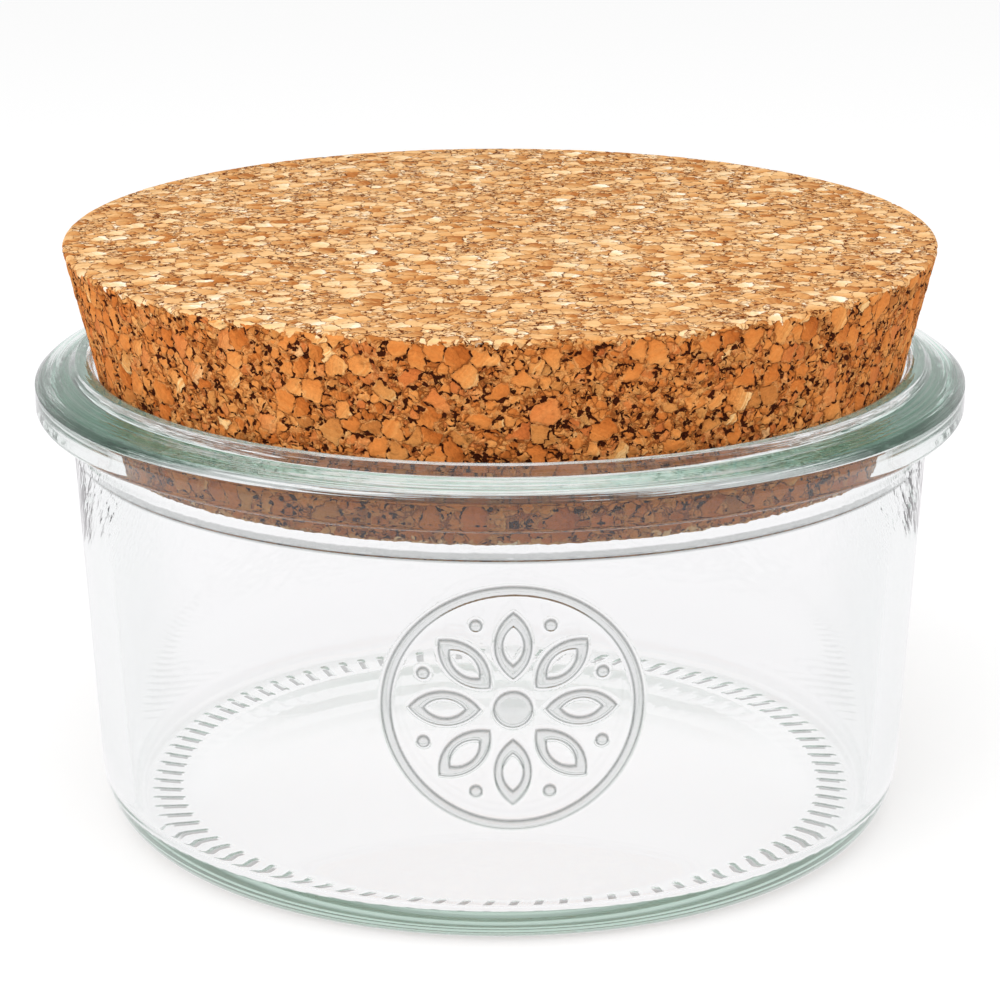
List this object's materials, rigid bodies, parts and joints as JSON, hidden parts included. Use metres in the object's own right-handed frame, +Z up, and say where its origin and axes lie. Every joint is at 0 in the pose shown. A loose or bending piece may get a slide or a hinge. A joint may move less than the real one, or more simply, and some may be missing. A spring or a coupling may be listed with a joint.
{
  "type": "glass jar with cork lid",
  "caption": "Low round glass storage jar with a rounded overhanging rim, an embossed rosette and a thick tapered cork lid that lifts off.",
  "frame": {"origin": "centre of the ring that the jar stands on", "axes": "+Z up along the jar's axis, towards the lid; the embossed rosette faces -Y"},
  "size_m": [0.108, 0.108, 0.0685],
  "materials": {
    "glass": "gloss",
    "cork": "matte"
  },
  "bodies": {
    "jar": {"glass_jar": "glass"},
    "lid": {"cork_lid": "cork"}
  },
  "joints": [
    {"name": "lid_lift", "type": "slide", "parent": "jar", "child": "lid", "axis": [0, 0, 1], "range_m": [0, 0.06]}
  ]
}
